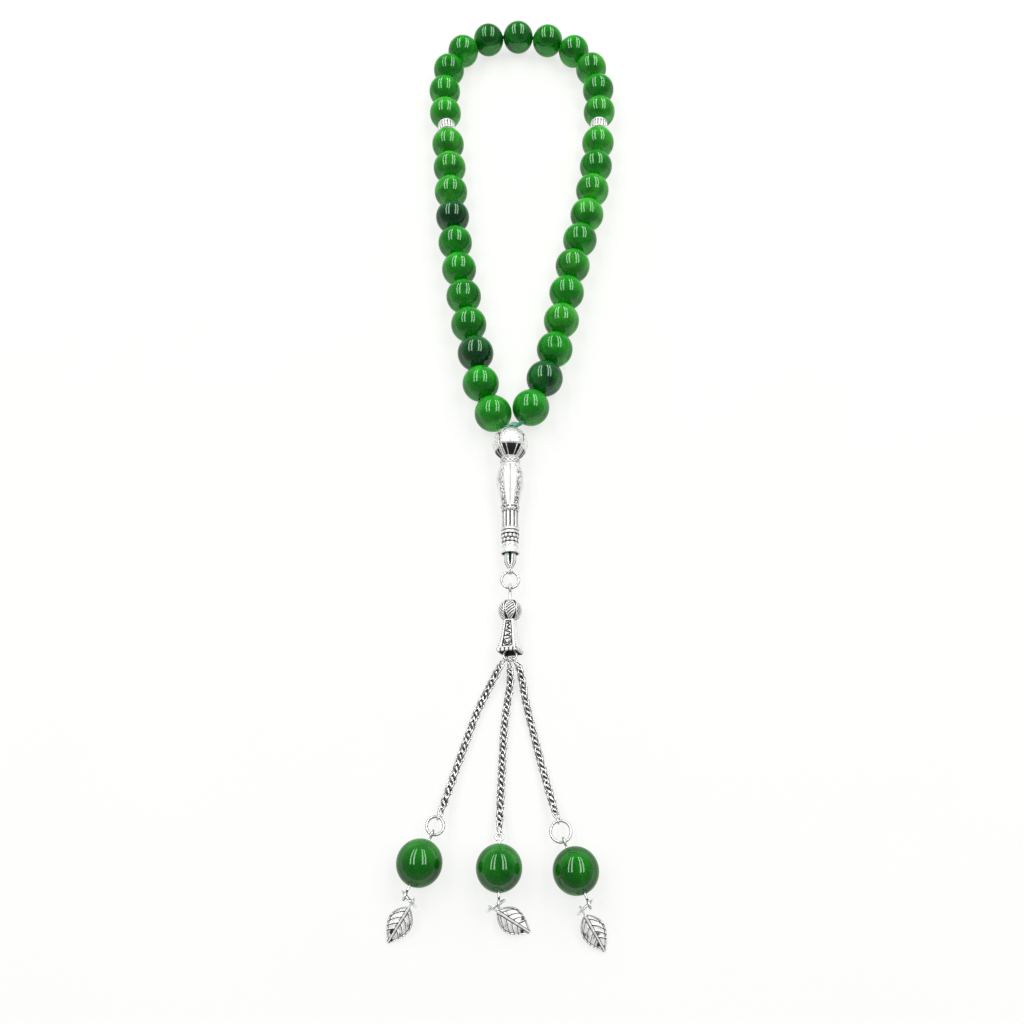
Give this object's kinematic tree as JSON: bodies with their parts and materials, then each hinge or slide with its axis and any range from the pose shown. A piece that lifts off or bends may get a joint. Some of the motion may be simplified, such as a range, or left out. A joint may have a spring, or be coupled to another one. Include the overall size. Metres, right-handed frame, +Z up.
{
  "type": "misbaha prayer beads",
  "caption": "Loop of round translucent green prayer beads on a thread, with two spacer discs, a turned leader and a chain tassel whose three ends carry a bead and a leaf charm",
  "frame": {"origin": "on the table's plane under the middle of the whole object as it lies flat", "axes": "+Z up, +Y along the object from the tassel to the far end of the bead loop, +X to the right of someone who looks along +Y"},
  "size_m": [0.06, 0.2836, 0.01],
  "materials": {
    "bead_glass": "polished translucent green glass that imitates agate",
    "thread": "twisted teal-green stringing thread",
    "silver_metal": "bright antiqued silver-tone plating with darkened recesses"
  },
  "bodies": {
    "string": {"stringing_cord": "thread"},
    "tip": {"bead_tip": "silver_metal"},
    "tassel_ring": {"tassel_ring": "silver_metal"},
    "tassel_pin": {"tassel_pin": "silver_metal"},
    "chain_left": {"chain_left": "silver_metal"},
    "chain_middle": {"chain_middle": "silver_metal"},
    "chain_right": {"chain_right": "silver_metal"},
    "chain_ring_left": {"chain_ring_left": "silver_metal"},
    "pendant_pin_left": {"pendant_pin_left": "silver_metal"},
    "pendant_pin_middle": {"pendant_pin_middle": "silver_metal"},
    "chain_ring_right": {"chain_ring_right": "silver_metal"},
    "pendant_pin_right": {"pendant_pin_right": "silver_metal"},
    "leaf_ring_left": {"leaf_ring_left": "silver_metal"},
    "leaf_left": {"leaf_left": "silver_metal"},
    "leaf_ring_middle": {"leaf_ring_middle": "silver_metal"},
    "leaf_middle": {"leaf_middle": "silver_metal"},
    "leaf_ring_right": {"leaf_ring_right": "silver_metal"},
    "leaf_right": {"leaf_right": "silver_metal"},
    "pendant_bead_left": {"pendant_bead_left": "bead_glass"},
    "pendant_bead_middle": {"pendant_bead_middle": "bead_glass"},
    "pendant_bead_right": {"pendant_bead_right": "bead_glass"},
    "knot_ball": {"knot_ball": "silver_metal"},
    "tassel_cap": {"tassel_cap": "silver_metal"},
    "imame_ball": {"imame_ball": "silver_metal"},
    "imame_body": {"imame_body": "silver_metal"},
    "bead_01": {"bead_01": "bead_glass"},
    "bead_02": {"bead_02": "bead_glass"},
    "bead_03": {"bead_03": "bead_glass"},
    "bead_04": {"bead_04": "bead_glass"},
    "bead_05": {"bead_05": "bead_glass"},
    "bead_06": {"bead_06": "bead_glass"},
    "bead_07": {"bead_07": "bead_glass"},
    "bead_08": {"bead_08": "bead_glass"},
    "bead_09": {"bead_09": "bead_glass"},
    "bead_10": {"bead_10": "bead_glass"},
    "bead_11": {"bead_11": "bead_glass"},
    "spacer_left": {"spacer_left": "silver_metal"},
    "bead_12": {"bead_12": "bead_glass"},
    "bead_13": {"bead_13": "bead_glass"},
    "bead_14": {"bead_14": "bead_glass"},
    "bead_15": {"bead_15": "bead_glass"},
    "bead_16": {"bead_16": "bead_glass"},
    "bead_17": {"bead_17": "bead_glass"},
    "bead_18": {"bead_18": "bead_glass"},
    "bead_19": {"bead_19": "bead_glass"},
    "bead_20": {"bead_20": "bead_glass"},
    "bead_21": {"bead_21": "bead_glass"},
    "bead_22": {"bead_22": "bead_glass"},
    "spacer_right": {"spacer_right": "silver_metal"},
    "bead_23": {"bead_23": "bead_glass"},
    "bead_24": {"bead_24": "bead_glass"},
    "bead_25": {"bead_25": "bead_glass"},
    "bead_26": {"bead_26": "bead_glass"},
    "bead_27": {"bead_27": "bead_glass"},
    "bead_28": {"bead_28": "bead_glass"},
    "bead_29": {"bead_29": "bead_glass"},
    "bead_30": {"bead_30": "bead_glass"},
    "bead_31": {"bead_31": "bead_glass"},
    "bead_32": {"bead_32": "bead_glass"},
    "bead_33": {"bead_33": "bead_glass"}
  },
  "joints": [
    {"name": "tassel_ring_swing", "type": "hinge", "parent": "tip", "child": "tassel_ring", "pos_m": [-0.00358, -0.05883, 0.00335], "axis": [0, 0, 1], "range_deg": [-35, 35]},
    {"name": "tassel_pin_swing", "type": "hinge", "parent": "tassel_ring", "child": "tassel_pin", "pos_m": [-0.00358, -0.05883, 0.00335], "axis": [0, 0, 1], "range_deg": [-30, 30]},
    {"name": "chain_left_swing", "type": "hinge", "parent": "tassel_pin", "child": "chain_left", "pos_m": [-0.00358, -0.07783, 0.00335], "axis": [0, 0, 1], "range_deg": [-18, 1]},
    {"name": "chain_middle_swing", "type": "hinge", "parent": "tassel_pin", "child": "chain_middle", "pos_m": [-0.00358, -0.07783, 0.00335], "axis": [0, 0, 1], "range_deg": [-1.5, 1.5]},
    {"name": "chain_right_swing", "type": "hinge", "parent": "tassel_pin", "child": "chain_right", "pos_m": [-0.00358, -0.07783, 0.00335], "axis": [0, 0, 1], "range_deg": [-1, 18]},
    {"name": "chain_ring_left_swing", "type": "hinge", "parent": "chain_left", "child": "chain_ring_left", "pos_m": [-0.02003, -0.11665, 0.00328], "axis": [0, 0, 1], "range_deg": [-25, 8]},
    {"name": "pendant_pin_left_swing", "type": "hinge", "parent": "chain_ring_left", "child": "pendant_pin_left", "pos_m": [-0.02003, -0.11665, 0.00328], "axis": [0, 0, 1], "range_deg": [-25, 8]},
    {"name": "pendant_pin_middle_swing", "type": "hinge", "parent": "chain_middle", "child": "pendant_pin_middle", "pos_m": [-0.00588, -0.11823, 0.00307], "axis": [0, 0, 1], "range_deg": [-12, 12]},
    {"name": "chain_ring_right_swing", "type": "hinge", "parent": "chain_right", "child": "chain_ring_right", "pos_m": [0.0076, -0.11784, 0.00328], "axis": [0, 0, 1], "range_deg": [-8, 25]},
    {"name": "pendant_pin_right_swing", "type": "hinge", "parent": "chain_ring_right", "child": "pendant_pin_right", "pos_m": [0.0076, -0.11784, 0.00328], "axis": [0, 0, 1], "range_deg": [-8, 25]},
    {"name": "leaf_ring_left_swing", "type": "hinge", "parent": "pendant_pin_left", "child": "leaf_ring_left", "pos_m": [-0.02554, -0.131, 0.00689], "axis": [-0.6556, 0.6556, -0.3746], "range_deg": [0, 50]},
    {"name": "leaf_left_swing", "type": "hinge", "parent": "leaf_ring_left", "child": "leaf_left", "pos_m": [-0.0244, -0.13214, 0.0029], "axis": [-0.6556, 0.6556, -0.3746], "range_deg": [0, 50]},
    {"name": "leaf_ring_middle_swing", "type": "hinge", "parent": "pendant_pin_middle", "child": "leaf_ring_middle", "pos_m": [-0.00588, -0.13248, 0.00689], "axis": [-0.803, -0.4636, 0.3746], "range_deg": [0, 50]},
    {"name": "leaf_middle_swing", "type": "hinge", "parent": "leaf_ring_middle", "child": "leaf_middle", "pos_m": [-0.00727, -0.13328, 0.0029], "axis": [-0.803, -0.4636, 0.3746], "range_deg": [0, 50]},
    {"name": "leaf_ring_right_swing", "type": "hinge", "parent": "pendant_pin_right", "child": "leaf_ring_right", "pos_m": [0.01298, -0.13261, 0.00689], "axis": [-0.7103, -0.596, 0.3746], "range_deg": [0, 50]},
    {"name": "leaf_right_swing", "type": "hinge", "parent": "leaf_ring_right", "child": "leaf_right", "pos_m": [0.01174, -0.13365, 0.0029], "axis": [-0.7103, -0.596, 0.3746], "range_deg": [0, 50]},
    {"name": "pendant_bead_left_spin", "type": "hinge", "parent": "pendant_pin_left", "child": "pendant_bead_left", "pos_m": [-0.02301, -0.12442, 0.005], "axis": [-0.3462, -0.9018, 0.2588], "continuous": true},
    {"name": "pendant_bead_middle_spin", "type": "hinge", "parent": "pendant_pin_middle", "child": "pendant_bead_middle", "pos_m": [-0.00588, -0.12543, 0.005], "axis": [0, -0.9659, 0.2588], "continuous": true},
    {"name": "pendant_bead_right_spin", "type": "hinge", "parent": "pendant_pin_right", "child": "pendant_bead_right", "pos_m": [0.01056, -0.12599, 0.005], "axis": [0.3304, -0.9077, 0.2588], "continuous": true},
    {"name": "knot_ball_spin", "type": "hinge", "parent": "tassel_pin", "child": "knot_ball", "pos_m": [-0.00358, -0.06683, 0.00335], "axis": [0, -1, 0], "continuous": true},
    {"name": "tassel_cap_spin", "type": "hinge", "parent": "tassel_pin", "child": "tassel_cap", "pos_m": [-0.00358, -0.07343, 0.00335], "axis": [0, -1, 0], "continuous": true},
    {"name": "tip_swivel", "type": "hinge", "parent": "string", "child": "tip", "pos_m": [-0.00358, -0.05106, 0.00249], "axis": [0, -0.9884, 0.1521], "continuous": true},
    {"name": "imame_ball_spin", "type": "hinge", "parent": "string", "child": "imame_ball", "pos_m": [-0.00358, -0.02109, 0.0047], "axis": [0, -0.9973, -0.0737], "continuous": true},
    {"name": "imame_body_spin", "type": "hinge", "parent": "string", "child": "imame_body", "pos_m": [-0.00358, -0.02562, 0.00436], "axis": [0, -0.9973, -0.0737], "continuous": true},
    {"name": "bead_01_spin", "type": "hinge", "parent": "string", "child": "bead_01", "pos_m": [-0.00818, -0.01179, 0.005], "axis": [-0.5878, 0.809, 0], "continuous": true},
    {"name": "bead_02_spin", "type": "hinge", "parent": "string", "child": "bead_02", "pos_m": [-0.01163, -0.0023, 0.005], "axis": [-0.0698, 0.9976, 0], "continuous": true},
    {"name": "bead_03_spin", "type": "hinge", "parent": "string", "child": "bead_03", "pos_m": [-0.01321, 0.00767, 0.005], "axis": [-0.2419, 0.9703, 0], "continuous": true},
    {"name": "bead_04_spin", "type": "hinge", "parent": "string", "child": "bead_04", "pos_m": [-0.0153, 0.01749, 0.005], "axis": [-0.1736, 0.9848, 0], "continuous": true},
    {"name": "bead_05_spin", "type": "hinge", "parent": "string", "child": "bead_05", "pos_m": [-0.01695, 0.02737, 0.005], "axis": [-0.1564, 0.9877, 0], "continuous": true},
    {"name": "bead_06_spin", "type": "hinge", "parent": "string", "child": "bead_06", "pos_m": [-0.01852, 0.03725, 0.005], "axis": [-0.1564, 0.9877, 0], "continuous": true},
    {"name": "bead_07_spin", "type": "hinge", "parent": "string", "child": "bead_07", "pos_m": [-0.01991, 0.04718, 0.005], "axis": [-0.1219, 0.9925, 0], "continuous": true},
    {"name": "bead_08_spin", "type": "hinge", "parent": "string", "child": "bead_08", "pos_m": [-0.02096, 0.05715, 0.005], "axis": [-0.0872, 0.9962, 0], "continuous": true},
    {"name": "bead_09_spin", "type": "hinge", "parent": "string", "child": "bead_09", "pos_m": [-0.02175, 0.06714, 0.005], "axis": [-0.0698, 0.9976, 0], "continuous": true},
    {"name": "bead_10_spin", "type": "hinge", "parent": "string", "child": "bead_10", "pos_m": [-0.02244, 0.07712, 0.005], "axis": [-0.0698, 0.9976, 0], "continuous": true},
    {"name": "bead_11_spin", "type": "hinge", "parent": "string", "child": "bead_11", "pos_m": [-0.02323, 0.08711, 0.005], "axis": [-0.0872, 0.9962, 0], "continuous": true},
    {"name": "spacer_left_spin", "type": "hinge", "parent": "string", "child": "spacer_left", "pos_m": [-0.02386, 0.09393, 0.005], "axis": [-0.1045, 0.9945, 0], "continuous": true},
    {"name": "bead_12_spin", "type": "hinge", "parent": "string", "child": "bead_12", "pos_m": [-0.02449, 0.10076, 0.005], "axis": [-0.0872, 0.9962, 0], "continuous": true},
    {"name": "bead_13_spin", "type": "hinge", "parent": "string", "child": "bead_13", "pos_m": [-0.02501, 0.1108, 0.005], "axis": [-0.0175, 0.9998, 0], "continuous": true},
    {"name": "bead_14_spin", "type": "hinge", "parent": "string", "child": "bead_14", "pos_m": [-0.02396, 0.12084, 0.005], "axis": [0.225, 0.9744, 0], "continuous": true},
    {"name": "bead_15_spin", "type": "hinge", "parent": "string", "child": "bead_15", "pos_m": [-0.01945, 0.12988, 0.005], "axis": [0.6428, 0.766, 0], "continuous": true},
    {"name": "bead_16_spin", "type": "hinge", "parent": "string", "child": "bead_16", "pos_m": [-0.01103, 0.13545, 0.005], "axis": [0.9563, 0.2924, 0], "continuous": true},
    {"name": "bead_17_spin", "type": "hinge", "parent": "string", "child": "bead_17", "pos_m": [-0.00102, 0.13677, 0.005], "axis": [0.9994, -0.0349, 0], "continuous": true},
    {"name": "bead_18_spin", "type": "hinge", "parent": "string", "child": "bead_18", "pos_m": [0.00893, 0.13502, 0.005], "axis": [0.9511, -0.309, 0], "continuous": true},
    {"name": "bead_19_spin", "type": "hinge", "parent": "string", "child": "bead_19", "pos_m": [0.01759, 0.12982, 0.005], "axis": [0.7193, -0.6947, 0], "continuous": true},
    {"name": "bead_20_spin", "type": "hinge", "parent": "string", "child": "bead_20", "pos_m": [0.02309, 0.12134, 0.005], "axis": [0.342, -0.9397, 0], "continuous": true},
    {"name": "bead_21_spin", "type": "hinge", "parent": "string", "child": "bead_21", "pos_m": [0.02501, 0.11143, 0.005], "axis": [0.0349, -0.9994, 0], "continuous": true},
    {"name": "bead_22_spin", "type": "hinge", "parent": "string", "child": "bead_22", "pos_m": [0.02493, 0.10138, 0.005], "axis": [-0.0523, -0.9986, 0], "continuous": true},
    {"name": "spacer_right_spin", "type": "hinge", "parent": "string", "child": "spacer_right", "pos_m": [0.02454, 0.09453, 0.005], "axis": [-0.0698, -0.9976, 0], "continuous": true},
    {"name": "bead_23_spin", "type": "hinge", "parent": "string", "child": "bead_23", "pos_m": [0.02397, 0.08769, 0.005], "axis": [-0.0872, -0.9962, 0], "continuous": true},
    {"name": "bead_24_spin", "type": "hinge", "parent": "string", "child": "bead_24", "pos_m": [0.02292, 0.07772, 0.005], "axis": [-0.1219, -0.9925, 0], "continuous": true},
    {"name": "bead_25_spin", "type": "hinge", "parent": "string", "child": "bead_25", "pos_m": [0.02144, 0.06779, 0.005], "axis": [-0.1736, -0.9848, 0], "continuous": true},
    {"name": "bead_26_spin", "type": "hinge", "parent": "string", "child": "bead_26", "pos_m": [0.01944, 0.05796, 0.005], "axis": [-0.225, -0.9744, 0], "continuous": true},
    {"name": "bead_27_spin", "type": "hinge", "parent": "string", "child": "bead_27", "pos_m": [0.01701, 0.04823, 0.005], "axis": [-0.2588, -0.9659, 0], "continuous": true},
    {"name": "bead_28_spin", "type": "hinge", "parent": "string", "child": "bead_28", "pos_m": [0.01459, 0.0385, 0.005], "axis": [-0.225, -0.9744, 0], "continuous": true},
    {"name": "bead_29_spin", "type": "hinge", "parent": "string", "child": "bead_29", "pos_m": [0.01259, 0.02867, 0.005], "axis": [-0.1736, -0.9848, 0], "continuous": true},
    {"name": "bead_30_spin", "type": "hinge", "parent": "string", "child": "bead_30", "pos_m": [0.01085, 0.01881, 0.005], "axis": [-0.1736, -0.9848, 0], "continuous": true},
    {"name": "bead_31_spin", "type": "hinge", "parent": "string", "child": "bead_31", "pos_m": [0.00876, 0.00899, 0.005], "axis": [-0.2419, -0.9703, 0], "continuous": true},
    {"name": "bead_32_spin", "type": "hinge", "parent": "string", "child": "bead_32", "pos_m": [0.00582, -0.00064, 0.005], "axis": [-0.342, -0.9397, 0], "continuous": true},
    {"name": "bead_33_spin", "type": "hinge", "parent": "string", "child": "bead_33", "pos_m": [0.00197, -0.00993, 0.005], "axis": [-0.4226, -0.9063, 0], "continuous": true}
  ]
}
